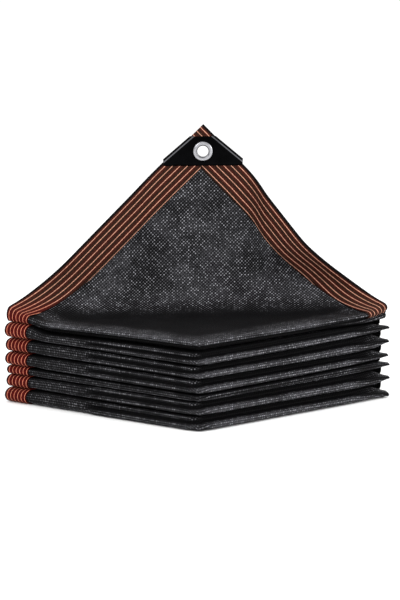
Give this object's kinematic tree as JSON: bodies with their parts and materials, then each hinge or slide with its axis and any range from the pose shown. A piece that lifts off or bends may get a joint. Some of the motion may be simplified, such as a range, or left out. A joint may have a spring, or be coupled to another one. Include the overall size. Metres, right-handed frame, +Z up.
{
  "type": "folded shade cloth",
  "caption": "Knitted shade cloth folded back and forth into a square packet, bound with striped tape, its free corner raised to show a patch with an eyelet.",
  "frame": {"origin": "the surface that the packet lies on, under the middle of its square", "axes": "+Z up; the packet's front corner points to -Y and its raised corner stands up towards +Y, with the eyelet's axis along Y; +X is to the right as seen from the front corner"},
  "size_m": [0.4253, 0.4266, 0.3014],
  "materials": {
    "net": "knitted black polyethylene mesh, slightly glossy strands",
    "binding": "woven dark brown-red tape with fine salmon stripes, matte",
    "patch": "black coated cloth, satin",
    "eyelet": "polished silver"
  },
  "bodies": {
    "root": {"net": "net", "selvedge_tape": "binding", "end_tape": "binding", "corner_patch": "patch", "eyelet_front": "eyelet", "eyelet_back": "eyelet"}
  },
  "joints": []
}
